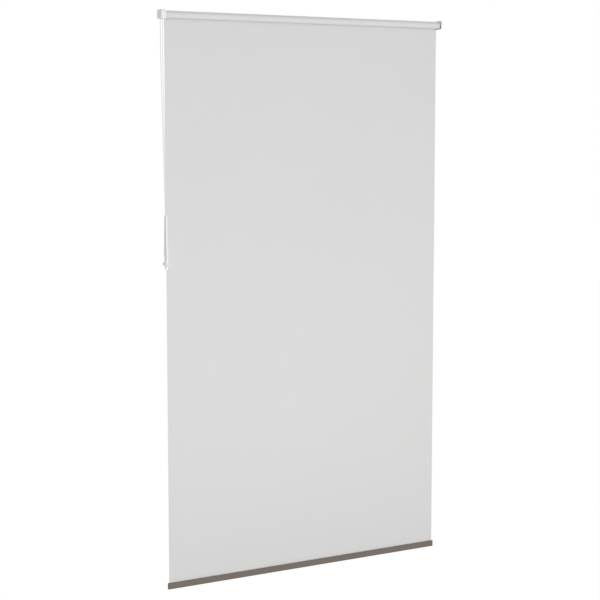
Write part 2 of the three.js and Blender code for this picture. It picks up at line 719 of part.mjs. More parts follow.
// The chain's two strands, as centre line points: over the sprocket, down, and round the pulley.
// They are chosen by hand and lie in the blind's own frame.
const FRONT_STRAND = [
  [-4.85, -24.15, 10.5],
  [-4.85, -24.65, 10.49],
  [-4.85, -28.02, 9.7],
  [-4.85, -31.43, 7.43],
  [-4.85, -33.7, 4.02],
  [-4.85, -34.5, 0],
  [-4.85, -34.5, -20],
  [-4.85, -34.5, -60],
  [-4.8, -34.45, -120],
  [-4.4, -34.3, -198],
  [-3.3, -34.1, -296],
  [-1.9, -33.9, -394],
  [-0.3, -33.7, -491],
  [1.2, -33.4, -589],
  [2.6, -33.0, -686],
  [3.3, -32.8, -744],
  [3.65, -32.75, -778],
  [3.7, -33.3, -812],
  [3.7, -35.3, -852],
  [3.7, -37.3, -892],
  [3.7, -38.4, -916],
  [3.7, -38.59, -927],
  [3.7, -37.94, -930.29],
  [3.7, -36.08, -933.08],
  [3.7, -33.29, -934.94],
  [3.7, -30.65, -935.58],
  [3.7, -30.15, -935.59],
];
const REAR_STRAND = [
  [-4.85, -23.85, 10.5],
  [-4.85, -23.35, 10.49],
  [-4.85, -19.98, 9.7],
  [-4.85, -16.57, 7.43],
  [-4.85, -14.3, 4.02],
  [-4.85, -13.5, 0],
  [-4.85, -13.55, -20],
  [-4.85, -13.9, -60],
  [-4.8, -14.8, -120],
  [-4.4, -16.2, -198],
  [-3.3, -18.1, -296],
  [-1.9, -20.0, -394],
  [-0.3, -21.9, -491],
  [1.2, -23.8, -589],
  [2.6, -25.6, -686],
  [3.3, -26.7, -744],
  [3.65, -27.25, -778],
  [3.7, -26.7, -812],
  [3.7, -24.7, -852],
  [3.7, -22.7, -892],
  [3.7, -21.6, -916],
  [3.7, -21.41, -927],
  [3.7, -22.06, -930.29],
  [3.7, -23.92, -933.08],
  [3.7, -26.71, -934.94],
  [3.7, -29.35, -935.58],
  [3.7, -29.85, -935.59],
];

// Each span between two chosen points gets the same number of steps, so the wraps stay round
class Route extends THREE.CatmullRomCurve3 {
  getUtoTmapping(u) {
    return u;
  }
}

function chainStrand(points) {
  const route = new Route(points.map((p) => new THREE.Vector3(...p)));
  route.arcLengthDivisions = 2000;
  console.log(`chain strand: ${route.getLength().toFixed(1)} mm`);
  return tubeAlong(route, BEAD_DIAMETER / 2, CHAIN_SIDES, CHAIN_STEPS_PER_SPAN * (points.length - 1));
}

// The scene graph
function mesh(name, geometry, material) {
  const made = new THREE.Mesh(geometry, materials[material]);
  made.name = name;
  return made;
}

const blind = new THREE.Group();

const controlEnd = new THREE.Group();
controlEnd.position.set(leftFace, -AXIS_DEPTH, 0);
controlEnd.add(
  mesh("left_wall_bracket", bracket(squareHole(plateStart - OVERRUN, plateEnd + OVERRUN)), "steel"),
  mesh("left_bracket_cover", cover(LEFT_COVER_REACH, chainSlot()), "plastic"),
  mesh("clutch_housing", clutchHousing(), "plastic"),
  mesh("clutch_spindle", clutchSpindle(), "nylon"),
  mesh("wrap_spring_outer", wrapSpring(0), "steel"),
  mesh("wrap_spring_inner", wrapSpring(1), "steel"),
  mesh("chain_sprocket", sprocket(), "nylon"),
  mesh("drive_hub", driveHub(), "plastic"),
  mesh("clutch_retaining_clip", retainingClip(), "steel"),
  mesh("roller_tube", rollerTube(), "aluminium"),
  mesh("fabric_tape", fabricTape(), "tape"),
  mesh("fabric_roll", fabricRoll(), "fabric"),
);

const idleEnd = new THREE.Group();
idleEnd.position.set(rightFace, -AXIS_DEPTH, 0);
idleEnd.scale.x = -1;
const bushHole = rod(bushRadius + FIT, plateStart - OVERRUN, plateEnd + OVERRUN);
idleEnd.add(
  mesh("right_wall_bracket", bracket(bushHole), "steel"),
  mesh("right_bracket_cover", cover(RIGHT_COVER_REACH), "plastic"),
  mesh("idler_bush", idlerBush(), "nylon"),
  mesh("idler_plug", idlerPlug(), "plastic"),
  mesh("idler_pin", idlerPin(), "nylon"),
  mesh("idler_spring", idlerSpring(), "steel"),
  mesh("idler_spring_cap", springCap(), "dark_plastic"),
);

const rail = new THREE.Group();
rail.position.set(leftFace + CONTROL_SIDE + fabricWidth / 2, sheetY, railBottom);
rail.add(
  mesh("bottom_rail", bottomRail(), "rail"),
  mesh("rail_end_cap_left", railCap(-1), "rail"),
  mesh("rail_end_cap_right", railCap(1), "rail"),
  mesh("hem_loop", hemLoop(), "fabric"),
  mesh("hem_spline", hemSpline(), "nylon"),
);

const tensioner = new THREE.Group();
tensioner.position.set(leftFace + TENSIONER_PLANE, -TENSIONER_DEPTH, -PULLEY_DROP);
tensioner.add(
  mesh("tensioner_base", tensionerBase(), "plastic"),
  mesh("tensioner_housing_left", housingShell(-1), "plastic"),
  mesh("tensioner_housing_right", housingShell(1), "plastic"),
  mesh("tensioner_pulley", pulley(), "nylon"),
  mesh("tensioner_axle", rod(AXLE_RADIUS, -housingHalf, housingHalf, FINE), "steel"),
);

blind.add(
  controlEnd,
  idleEnd,
  rail,
  tensioner,
  mesh("fabric_sheet", fabricSheet(), "fabric"),
  mesh("chain_front_strand", chainStrand(FRONT_STRAND), "chain"),
  mesh("chain_rear_strand", chainStrand(REAR_STRAND), "chain"),
);

export default blind;
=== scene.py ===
import math

import bmesh
import bpy
import numpy as np
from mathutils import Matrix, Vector, noise


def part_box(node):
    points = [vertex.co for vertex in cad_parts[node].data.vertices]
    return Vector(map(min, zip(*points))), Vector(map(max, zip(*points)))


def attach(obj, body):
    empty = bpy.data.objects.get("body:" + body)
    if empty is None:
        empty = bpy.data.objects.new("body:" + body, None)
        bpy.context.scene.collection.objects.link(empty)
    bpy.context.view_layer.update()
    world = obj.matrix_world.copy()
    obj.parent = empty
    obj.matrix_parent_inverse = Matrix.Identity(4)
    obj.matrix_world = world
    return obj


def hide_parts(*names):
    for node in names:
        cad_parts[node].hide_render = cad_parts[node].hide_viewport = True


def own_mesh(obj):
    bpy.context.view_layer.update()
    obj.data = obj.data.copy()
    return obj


# A blackout roller blind worked by an endless bead chain. It stands in the frame of its CAD model.
# +X runs along the roller away from the chain, +Y goes into the wall and +Z is up.
# Shapes are drawn in millimetres and scaled to metres when they are placed.
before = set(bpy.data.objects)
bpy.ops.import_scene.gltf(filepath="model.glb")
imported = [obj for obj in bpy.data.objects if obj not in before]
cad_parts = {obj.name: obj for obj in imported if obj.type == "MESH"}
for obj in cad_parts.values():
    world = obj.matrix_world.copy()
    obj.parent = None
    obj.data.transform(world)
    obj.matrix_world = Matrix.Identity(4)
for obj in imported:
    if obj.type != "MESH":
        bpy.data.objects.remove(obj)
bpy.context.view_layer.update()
MM = 0.001


def extent(node):
    """The ranges that a CAD node fills along X, Y and Z, in millimetres."""
    low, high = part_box(node)
    return [(a / MM, b / MM) for a, b in zip(low, high)]


# The camera of the photograph
CAMERA_PLACE = (-2.2082, -5.1885, -0.4386)
CAMERA_PITCH = 5.7663
CAMERA_YAW = 28.5687
CAMERA_LENS = 85.91
CAMERA_SENSOR = 36
CAMERA_SHIFT = -0.045


def make_camera():
    data = bpy.data.cameras.new("camera")
    data.sensor_width = CAMERA_SENSOR
    data.lens = CAMERA_LENS
    data.shift_y = CAMERA_SHIFT
    camera = bpy.data.objects.new("camera", data)
    camera.location = CAMERA_PLACE
    camera.rotation_euler = (math.radians(90 - CAMERA_PITCH), 0, math.radians(-CAMERA_YAW))
    bpy.context.scene.collection.objects.link(camera)
    bpy.context.scene.camera = camera


# Outlines in two dimensions, in millimetres. HAIR keeps points apart that would meet otherwise.
CORNER_STEPS = 10
LEAST_CORNER = 0.4
HAIR = 0.01


def arc(centre, radius, start, end, steps):
    """Points on a circle from one angle to another, in degrees, both ends included."""
    angles = np.radians(np.linspace(start, end, steps + 1))
    return [(centre[0] + radius * math.cos(a), centre[1] + radius * math.sin(a)) for a in angles]


def circle(centre, radius):
    """Points all round a circle, 10 degrees apart."""
    return arc(centre, radius, 0, 350, 35)


def rounded(u, v, radius, inset=0.0):
    """A rectangle with round corners, made smaller all round by inset."""
    (u0, u1), (v0, v1) = (u[0] + inset, u[1] - inset), (v[0] + inset, v[1] - inset)
    r = max(radius - inset, LEAST_CORNER)
    return [
        *arc((u1 - r, v0 + r), r, -90, 0, CORNER_STEPS),
        *arc((u1 - r, v1 - r), r, 0, 90, CORNER_STEPS),
        *arc((u0 + r, v1 - r), r, 90, 180, CORNER_STEPS),
        *arc((u0 + r, v0 + r), r, 180, 270, CORNER_STEPS),
    ]


def fillet(radius, steps=6):
    """Depths and insets that round an edge off, from the side wall to the flat face."""
    angles = np.radians(np.linspace(0, 90, steps + 1))
    return [(radius * (1 - math.sin(a)), radius * (1 - math.cos(a))) for a in angles]


# Solids as bmesh, in millimetres. A cut runs PAST the face that it opens, and points closer to each
# other than WELD become one.
PAST = 1.0
WELD = 0.0001
AXES = {"x": (2, 0, 1), "y": (0, 2, 1), "z": (0, 1, 2)}


def band(bm, a, b):
    """Quads between two rings of vertices."""
    for i, corner in enumerate(a):
        j = (i + 1) % len(a)
        bm.faces.new((corner, b[i], b[j], a[j]))


def skin(rings, closed=False):
    """Quads between rings of points, with flat ends unless the rings run round to the start."""
    bm = bmesh.new()
    rows = [[bm.verts.new(p) for p in ring] for ring in rings]
    pairs = list(zip(rows, rows[1:]))
    if closed:
        pairs.append((rows[-1], rows[0]))
    else:
        bm.faces.new(rows[0])
        bm.faces.new(rows[-1][::-1])
    for a, b in pairs:
        band(bm, a, b)
    return bm


def loft(sections):
    """A solid through outlines in Y and Z, each with its place along X."""
    return skin([[(x, y, z) for y, z in outline] for x, outline in sections])


def turned(profile, y, z, sides=96):
    """A profile of (radius, x) points turned about a line along X."""
    rings = []
    for a in np.linspace(0, 2 * math.pi, sides, endpoint=False):
        rings.append([(x, y + r * math.cos(a), z + r * math.sin(a)) for r, x in profile])
    return skin(rings, closed=True)


def prism(outlines, start, end, axis="x", steps=1):
    """Outlines run along an axis. The ones after the first are holes in it."""
    bm = bmesh.new()
    order = AXES[axis]
    ends = []
    for outline in outlines:
        rows = []
        for w in np.linspace(start, end, steps + 1):
            rows.append([bm.verts.new([(u, v, w)[k] for k in order]) for u, v in outline])
        for a, b in zip(rows, rows[1:]):
            band(bm, a, b)
        ends.append((rows[0], rows[-1]))
    for side in (0, 1):
        edges = []
        for pair in ends:
            loop = pair[side]
            edges += [bm.edges.get((loop[i - 1], loop[i])) for i in range(len(loop))]
        bmesh.ops.triangle_fill(bm, use_beauty=True, edges=edges)
    return bm


def rough_object(name, bm):
    """An object from a bmesh that is still in millimetres."""
    bmesh.ops.remove_doubles(bm, verts=bm.verts, dist=WELD)
    bmesh.ops.recalc_face_normals(bm, faces=bm.faces)
    mesh = bpy.data.meshes.new(name)
    bm.to_mesh(mesh)
    bm.free()
    made = bpy.data.objects.new(name, mesh)
    bpy.context.scene.collection.objects.link(made)
    return made


def combine(target, tools, operation):
    """Cuts the tools out of an object or joins them to it, and takes them away."""
    made = [rough_object("tool", tool) for tool in tools]
    for tool in made:
        modifier = target.modifiers.new("combine", "BOOLEAN")
        modifier.operation = operation
        modifier.solver = "EXACT"
        modifier.object = tool
    graph = bpy.context.evaluated_depsgraph_get()
    mesh = bpy.data.meshes.new_from_object(target.evaluated_get(graph))
    target.modifiers.clear()
    target.data = mesh
    for tool in made:
        bpy.data.objects.remove(tool)


def place(made, material, body, slot, *nodes, sharp=32):
    """Scales a piece to metres, shades it, and sets it on its body in place of its CAD nodes.
    Edges that turn by more than sharp degrees stay sharp."""
    bm = bmesh.new()
    bm.from_mesh(made.data)
    bmesh.ops.scale(bm, vec=(MM, MM, MM), verts=bm.verts)
    for face in bm.faces:
        face.smooth = True
    for edge in bm.edges:
        edge.smooth = len(edge.link_faces) == 2 and edge.calc_face_angle() < math.radians(sharp)
    bm.to_mesh(made.data)
    bm.free()
    made.data.materials.clear()
    made.data.materials.append(material)
    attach(made, body)
    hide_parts(*nodes)
    return made


# Materials, whose grain is set out in the frame's own metres. Noise scales are per metre, and bump
# depths are in metres. Most of a noise lies between NOISE_LOW and NOISE_HIGH.
NOISE_LOW = 0.3
NOISE_HIGH = 0.7


class Surface:
    """A material with its shader, and short ways to add the nodes that feed it."""

    def __init__(self, name, roughness, metallic=0.0, **settings):
        self.material = bpy.data.materials.new(name)
        self.material.use_nodes = True
        self.nodes = self.material.node_tree.nodes
        self.links = self.material.node_tree.links
        self.shader = self.nodes["Principled BSDF"]
        self.shader.inputs["Roughness"].default_value = roughness
        self.shader.inputs["Metallic"].default_value = metallic
        for key, value in settings.items():
            self.shader.inputs[key.replace("_", " ")].default_value = value
        self.place = self.nodes.new("ShaderNodeTexCoord").outputs["Object"]

    def feed(self, socket, value):
        if isinstance(value, bpy.types.NodeSocket):
            self.links.new(value, socket)
        else:
            socket.default_value = value

    def add(self, kind, values, **settings):
        made = self.nodes.new(kind)
        for key, value in settings.items():
            setattr(made, key, value)
        for key, value in values.items():
            self.feed(made.inputs[key], value)
        return made

    def stretched(self, x, y, z, where=None):
        node = self.add("ShaderNodeMapping", {"Vector": where or self.place, "Scale": (x, y, z)})
        return node.outputs["Vector"]

    def noise(self, scale, detail, where=None):
        values = {"Vector": where or self.place, "Scale": scale, "Detail": detail}
        return self.add("ShaderNodeTexNoise", values).outputs["Fac"]

    def math(self, operation, *values):
        return self.add("ShaderNodeMath", dict(enumerate(values)), operation=operation).outputs[0]

    def share(self, value, part):
        return self.math("MULTIPLY", value, part)

    def color(self, value, low, high):
        """Two colours along a scale, each with its position on the scale first."""
        ramp = self.add("ShaderNodeValToRGB", {"Fac": value})
        for element, (position, rgb) in zip(ramp.color_ramp.elements, (low, high)):
            element.position = position
            element.color = (*rgb, 1)
        self.feed(self.shader.inputs["Base Color"], ramp.outputs["Color"])

    def roughness(self, value, low, high):
        """Roughness from low to high over the middle of a noise's range."""
        values = {
            "Value": value,
            "From Min": NOISE_LOW,
            "From Max": NOISE_HIGH,
            "To Min": low,
            "To Max": high,
        }
        spread = self.add("ShaderNodeMapRange", values).outputs["Result"]
        self.feed(self.shader.inputs["Roughness"], spread)

    def bump(self, height, depth, strength):
        values = {"Height": height, "Distance": depth, "Strength": strength}
        normal = self.add("ShaderNodeBump", values).outputs["Normal"]
        self.feed(self.shader.inputs["Normal"], normal)


def tint(rgb, share):
    return tuple(c * share for c in rgb)


def moulded(name, rgb, roughness, grain=2600.0, depth=0.00002, **settings):
    """Moulded plastic: a faint cloudiness, a fine satin grain and a little uneven gloss."""
    surface = Surface(name, roughness, **settings)
    cloud = surface.noise(scale=34.0, detail=4.0)
    surface.color(cloud, low=(0.32, tint(rgb, 0.975)), high=(0.68, tint(rgb, 1.012)))
    gloss = surface.noise(scale=140.0, detail=5.0)
    surface.roughness(gloss, low=roughness - 0.05, high=roughness + 0.07)
    surface.bump(surface.noise(grain, detail=2.0), depth, strength=0.6)
    return surface.material


def plated(name, dark, light, roughness, streak=(1.0, 1.0, 1.0), grain=900.0):
    """Bare or plated metal, with streaks along the way that it was drawn or rolled."""
    surface = Surface(name, roughness, metallic=1.0)
    streaked = surface.noise(grain, detail=4.0, where=surface.stretched(*streak))
    patches = surface.noise(scale=240.0, detail=2.0)
    both = surface.share(surface.math("ADD", streaked, patches), 0.5)
    surface.color(both, low=(0.3, dark), high=(0.7, light))
    surface.roughness(streaked, low=roughness - 0.03, high=roughness + 0.05)
    surface.bump(streaked, depth=0.000004, strength=0.5)
    return surface.material


# Cloth: the width of a thread, and the line and the mean radius that wound cloth follows, all in
# metres, and how finely slubs vary across and along a thread, per metre
THREAD = 0.00042
ROLLER_LINE = (-0.024, 0.0)
WOUND_RADIUS = 0.0139
SLUB_FINE = 900.0
SLUB_LONG = 7.0


def weave(surface, along, across):
    """The height of a plain weave whose threads lie along two coordinates."""
    turn = math.pi / THREAD
    warp = surface.math("SINE", surface.math("MULTIPLY", across, turn))
    weft = surface.math("SINE", surface.math("MULTIPLY", along, turn))
    crossing = surface.math("MULTIPLY", warp, weft)
    over = surface.math("MULTIPLY_ADD", crossing, 0.5, 0.5)
    under = surface.math("MULTIPLY_ADD", crossing, -0.5, 0.5)
    up = surface.math("MULTIPLY", surface.math("ABSOLUTE", warp), over)
    down = surface.math("MULTIPLY", surface.math("ABSOLUTE", weft), under)
    return surface.math("ADD", up, down)


def laid(surface, wound):
    """Coordinates across and along cloth, and a place on it. Wound cloth follows a roll about the
    line whose depth and height are given as wound."""
    split = surface.add("ShaderNodeSeparateXYZ", {"Vector": surface.place}).outputs
    if not wound:
        return split["X"], split["Z"], surface.place
    depth = surface.math("SUBTRACT", split["Y"], wound[0])
    height = surface.math("SUBTRACT", split["Z"], wound[1])
    along = surface.math("MULTIPLY", surface.math("ARCTAN2", height, depth), WOUND_RADIUS)
    joined = surface.add("ShaderNodeCombineXYZ", {"X": split["X"], "Z": along})
    return split["X"], along, joined.outputs["Vector"]


def cloth(name, rgb, wound=None):
    """Blackout cloth, with its threads and their slight unevenness."""
    surface = Surface(name, roughness=0.82, Sheen_Weight=0.08, Sheen_Roughness=0.5)
    across, along, where = laid(surface, wound)
    height = weave(surface, along, across)
    down = surface.stretched(SLUB_FINE, 0.0, SLUB_LONG, where)
    warp = surface.noise(scale=1.0, detail=2.0, where=down)
    sideways = surface.stretched(SLUB_LONG, 0.0, SLUB_FINE, where)
    weft = surface.noise(scale=1.0, detail=2.0, where=sideways)
    cloud = surface.noise(scale=1.6, detail=3.0, where=where)
    slub = surface.share(surface.math("ADD", warp, weft), 0.3)
    shade = surface.math("ADD", slub, surface.share(height, 0.25))
    shade = surface.math("ADD", shade, surface.share(cloud, 0.15))
    surface.color(shade, low=(0.25, tint(rgb, 0.955)), high=(0.75, tint(rgb, 1.035)))
    surface.roughness(warp, low=0.76, high=0.88)
    surface.bump(height, depth=0.00005, strength=0.55)
    return surface.material


def coating(name, rgb, wound=None):
    """The coated back of blackout cloth: smoother, with the weave only just showing through."""
    surface = Surface(name, roughness=0.6)
    across, along, where = laid(surface, wound)
    height = weave(surface, along, across)
    film = surface.noise(scale=420.0, detail=4.0, where=where)
    shade = surface.math("ADD", surface.share(height, 0.2), surface.share(film, 0.8))
    surface.color(shade, low=(0.3, tint(rgb, 0.975)), high=(0.7, tint(rgb, 1.02)))
    surface.roughness(film, low=0.55, high=0.66)
    surface.bump(shade, depth=0.00003, strength=0.45)
    return surface.material


def painted(name, rgb):
    """Powder-coated metal: fine orange peel, with a little gloss."""
    surface = Surface(name, roughness=0.45, Specular_IOR_Level=0.4)
    fleck = surface.noise(scale=5200.0, detail=2.0)
    cloud = surface.noise(scale=12.0, detail=3.0)
    shade = surface.math("ADD", surface.share(fleck, 0.65), surface.share(cloud, 0.35))
    surface.color(shade, low=(0.34, tint(rgb, 0.9)), high=(0.66, tint(rgb, 1.1)))
    surface.roughness(surface.noise(scale=1800.0, detail=3.0), low=0.38, high=0.52)
    surface.bump(surface.noise(scale=1400.0, detail=3.0), depth=0.00004, strength=0.6)
    return surface.material


# Colours as red, green and blue. Each metal has a dark and a light one.
WHITE = (0.88, 0.88, 0.872)
# Painted light: a lighter copy of WHITE that makes the tensioner's base read brighter than its housing.
PAINTED_LIGHT_WHITE = (0.95, 0.95, 0.944)
CHAIN_WHITE = (0.9, 0.9, 0.89)
CREAM = (0.79, 0.775, 0.72)
BLACK = (0.045, 0.046, 0.05)
BROWN = (0.138, 0.124, 0.114)
TAUPE = (0.168, 0.139, 0.113)
STRAW = (0.86, 0.82, 0.68)
CLOTH = (0.712, 0.712, 0.708)
ZINC = ((0.6, 0.61, 0.63), (0.7, 0.705, 0.705))
STEEL = ((0.3, 0.3, 0.31), (0.52, 0.52, 0.53))
ALUMINIUM = ((0.68, 0.69, 0.7), (0.82, 0.82, 0.83))

white_plastic = moulded("white_plastic", WHITE, roughness=0.42)
# The white plastic again, made lighter as painted light for the tensioner's base.
painted_light_plastic = moulded("white_plastic_painted_light", PAINTED_LIGHT_WHITE, roughness=0.4)
chain_plastic = moulded("chain_plastic", CHAIN_WHITE, roughness=0.36, grain=1800.0, depth=0.00001)
nylon = moulded(
    "nylon", CREAM, roughness=0.45, grain=1500.0, Subsurface_Weight=0.15, Subsurface_Scale=0.002
)
dark_plastic = moulded("dark_plastic", BLACK, roughness=0.52, grain=2000.0, depth=0.00003)
cap_plastic = moulded("rail_cap_plastic", BROWN, roughness=0.48, grain=2200.0, depth=0.00003)
zinc = plated("zinc_plated_steel", *ZINC, roughness=0.38, streak=(0.25, 1.0, 1.0))
spring_steel = plated("spring_steel", *STEEL, roughness=0.3, grain=1600.0)
aluminium = plated(
    "aluminium_tube", *ALUMINIUM, roughness=0.28, streak=(0.04, 1.0, 1.0), grain=1400.0
)
cloth_front = cloth("blackout_fabric", CLOTH)
cloth_wound = cloth("blackout_fabric_wound", CLOTH, ROLLER_LINE)
cloth_back = coating("blackout_coating", CLOTH)
cloth_outside = coating("blackout_coating_wound", CLOTH, ROLLER_LINE)
paint = painted("rail_paint", TAUPE)
tape = moulded("tape", STRAW, roughness=0.6, grain=700.0, depth=0.00004)

make_camera()

# Bead chain. Its two strands share the X and Z of their centre lines, and each has its own Y.
# Rows of X, the front strand's Y, the rear strand's Y and Z, in metres
STRANDS = np.array(
    [
        (-0.00485, -0.02415, -0.02385, 0.0105),
        (-0.00485, -0.02465, -0.02335, 0.01049),
        (-0.00485, -0.02802, -0.01998, 0.0097),
        (-0.00485, -0.03143, -0.01657, 0.00743),
        (-0.00485, -0.0337, -0.0143, 0.00402),
        (-0.00485, -0.0345, -0.0135, 0.0),
        (-0.00485, -0.0345, -0.01355, -0.02),
        (-0.00485, -0.0345, -0.0139, -0.06),
        (-0.0048, -0.03445, -0.0148, -0.12),
        (-0.0044, -0.0343, -0.0162, -0.198),
        (-0.0033, -0.0341, -0.0181, -0.296),
        (-0.0019, -0.0339, -0.02, -0.394),
        (-0.0003, -0.0337, -0.0219, -0.491),
        (0.0012, -0.0334, -0.0238, -0.589),
        (0.0026, -0.033, -0.0256, -0.686),
        (0.0033, -0.0328, -0.0267, -0.744),
        (0.00365, -0.03275, -0.02725, -0.778),
        (0.0037, -0.0333, -0.0267, -0.812),
        (0.0037, -0.0353, -0.0247, -0.852),
        (0.0037, -0.0373, -0.0227, -0.892),
        (0.0037, -0.0384, -0.0216, -0.916),
        (0.0037, -0.03859, -0.02141, -0.927),
        (0.0037, -0.03794, -0.02206, -0.93029),
        (0.0037, -0.03608, -0.02392, -0.93308),
        (0.0037, -0.03329, -0.02671, -0.93494),
        (0.0037, -0.03065, -0.02935, -0.93558),
        (0.0037, -0.03015, -0.02985, -0.93559),
    ]
)
FRONT_STRAND = STRANDS[:, [0, 1, 3]]
REAR_STRAND = STRANDS[:, [0, 2, 3]]

# Sizes of the chain, in millimetres. BEAD and CORD are radii.
BEAD = 2.25
CORD = 0.65
BEAD_RINGS = 13
BEAD_SIDES = 16
BEADS = 319
FIRST_BEAD = 1.5
STRAND_GAP = 0.3
STRAND_STEPS = 16
TANGENT_STEP = 0.4
CHAIN_SHARP = 50


def route(points):
    """The smooth curve through a strand's points, in millimetres."""
    line = points / MM
    line = np.vstack([2 * line[0] - line[1], line, 2 * line[-1] - line[-2]])
    found = []
    for before, a, b, after in zip(line, line[1:], line[2:], line[3:]):
        d0, d1, d2 = (np.linalg.norm(q - p) ** 0.5 for p, q in ((before, a), (a, b), (b, after)))
        leave = d1 * ((a - before) / d0 - (b - before) / (d0 + d1) + (b - a) / d1)
        arrive = d1 * ((b - a) / d1 - (after - a) / (d1 + d2) + (after - b) / d2)
        for t in np.linspace(0, 1, STRAND_STEPS, endpoint=False):
            from_a = (2 * t**3 - 3 * t**2 + 1) * a + (t**3 - 2 * t**2 + t) * leave
            to_b = (3 * t**2 - 2 * t**3) * b + (t**3 - t**2) * arrive
            found.append(from_a + to_b)
    found.append(line[-2])
    return np.array(found)


def distances(line):
    """How far along a line each of its points lies."""
    return np.concatenate([[0], np.cumsum(np.linalg.norm(np.diff(line, axis=0), axis=1))])


def strand(name, line, beads, node):
    """A row of beads on a cord, as one skin whose radius swells at each bead."""
    along = distances(line)
    swell = math.acos(CORD / BEAD)
    rings = [(0.0, CORD), (along[-1], CORD)]
    for i, bead in enumerate(beads):
        for a in np.linspace(-swell, swell, BEAD_RINGS):
            rings.append((bead + BEAD * math.sin(a), BEAD * math.cos(a)))
        if i:
            rings.append(((beads[i - 1] + bead) / 2, CORD))
    rings = sorted(ring for ring in rings if 0 <= ring[0] <= along[-1])
    sections = []
    for s, radius in rings:
        centre, ahead, behind = (
            np.array([np.interp(s + step, along, line[:, k]) for k in range(3)])
            for step in (0, TANGENT_STEP, -TANGENT_STEP)
        )
        forward = (ahead - behind) / np.linalg.norm(ahead - behind)
        side = np.array([1.0, 0, 0]) - forward[0] * forward
        side /= np.linalg.norm(side)
        up = np.cross(forward, side)
        angles = np.linspace(0, 2 * math.pi, BEAD_SIDES, endpoint=False)
        sections.append([centre + radius * (math.cos(a) * side + math.sin(a) * up) for a in angles])
    made = rough_object(name, skin(sections))
    place(made, chain_plastic, "headrail", "chain_plastic", node, sharp=CHAIN_SHARP)


def make_chain():
    """The beads run round the whole loop at one even pitch, from the top of the sprocket."""
    front, rear = route(FRONT_STRAND), route(REAR_STRAND)
    front_length, rear_length = (float(distances(line)[-1]) for line in (front, rear))
    loop = front_length + rear_length + 2 * STRAND_GAP
    beads = [FIRST_BEAD + loop * i / BEADS for i in range(BEADS)]
    half = front_length + STRAND_GAP
    on_front = [s - STRAND_GAP / 2 for s in beads if s < half]
    on_rear = [loop - s - STRAND_GAP / 2 for s in reversed(beads) if s >= half]
    strand("front_chain", front, on_front, "chain_front_strand")
    strand("rear_chain", rear, on_rear, "chain_rear_strand")


make_chain()

# Bracket covers
COVER_WALL = 1.2
COVER_CORNER = 7.0
COVER_INNER_CORNER = 1.0
COVER_INNER_BOW = 0.3
COVER_FILLET = 1.6
COVER_LIP = 0.3
FLANGE_ROOM = 11.8
FLANGE_ROOM_CORNER = 0.5
CHAIN_PLANE = -4.85
SLOT_HALF = 2.85
SLOT_REACH = 13.35
SLOT_CUT = (-19.0, -16.0)
ROLLER_Y = -24.0


def cover(name, node, side, *cuts):
    """A hollow cap over a bracket. Its closed face points to side along X, and its rear wall is
    open where the bracket's flange lies."""
    x, y, z = extent(node)
    face = x[0] if side < 0 else x[1]
    reach = x[1] - x[0]
    wall, lip, corner = COVER_WALL, COVER_LIP, COVER_INNER_CORNER
    profile = [
        (wall, wall + corner),
        (wall + COVER_INNER_BOW, wall + COVER_INNER_BOW),
        (wall + corner, wall),
        (reach - lip, wall),
        (reach, wall - lip),
        (reach, lip),
        (reach - lip, 0.0),
        *fillet(COVER_FILLET),
    ]
    sections = [(face - side * depth, rounded(y, z, COVER_CORNER, inset)) for depth, inset in profile]
    made = rough_object(name, loft(sections))
    inside = sorted((face - side * wall, face - side * (reach + PAST)))
    opening = rounded((-wall - PAST, PAST), (-FLANGE_ROOM, FLANGE_ROOM), FLANGE_ROOM_CORNER)
    combine(made, [prism([opening], *inside), *cuts], "DIFFERENCE")
    place(made, white_plastic, "headrail", "white_plastic", node)


chain_slot = rounded(
    (CHAIN_PLANE - SLOT_HALF, CHAIN_PLANE + SLOT_HALF),
    (ROLLER_Y - SLOT_REACH, ROLLER_Y + SLOT_REACH),
    SLOT_HALF - HAIR,
)
cover("left_cover", "left_bracket_cover", -1, prism([chain_slot], *SLOT_CUT, axis="z"))
cover("right_cover", "right_bracket_cover", 1)

# Drive hub and idler plug, which turn with the roller
KEY_HALF = 1.3
KEY_FOOT = 10.2
KEY_TOP = 12.5
RIM_STEPS = 6


def shifted(bm, y):
    """Moves a bmesh along Y."""
    bmesh.ops.translate(bm, vec=(0, y, 0), verts=bm.verts)
    return bm


def key_slot(x0, x1):
    """The room that the tube's inside key takes up."""
    half, foot, top = KEY_HALF, KEY_FOOT, KEY_TOP
    outline = [(-half, foot), (half, foot), (half, top), (-half, top)]
    return shifted(prism([outline], x0, x1), ROLLER_Y)


def rim(radius, x, round_off, start, end):
    """A rounded edge of a turned piece: (radius, x) points of an arc in degrees, 0 along the radius."""
    angles = np.radians(np.linspace(start, end, RIM_STEPS + 1))
    return [(radius + round_off * math.cos(a), x + round_off * math.sin(a)) for a in angles]


HUB_START = 12.8
HUB_END = 58.0
HUB_BORE = 8.8
PLUG_RADIUS = 11.2
HUB_TIP = 1.0
HUB_NECK = 12.0
HUB_CHAMFER = 0.3
HUB_RADIUS = 16.0
FLANGE_START = 20.2
FLANGE_END = 23.9
FLANGE_ROUND = 1.1
SPINDLE_BORE = 4.8
CHAMBER_END = 40.8
FORK_START = 13.2
FORK_END = 41.2
FORK_INNER = 6.6
FORK_OUTER = 10.0
FORK_HALF = 60.0
FORK_STEPS = 30


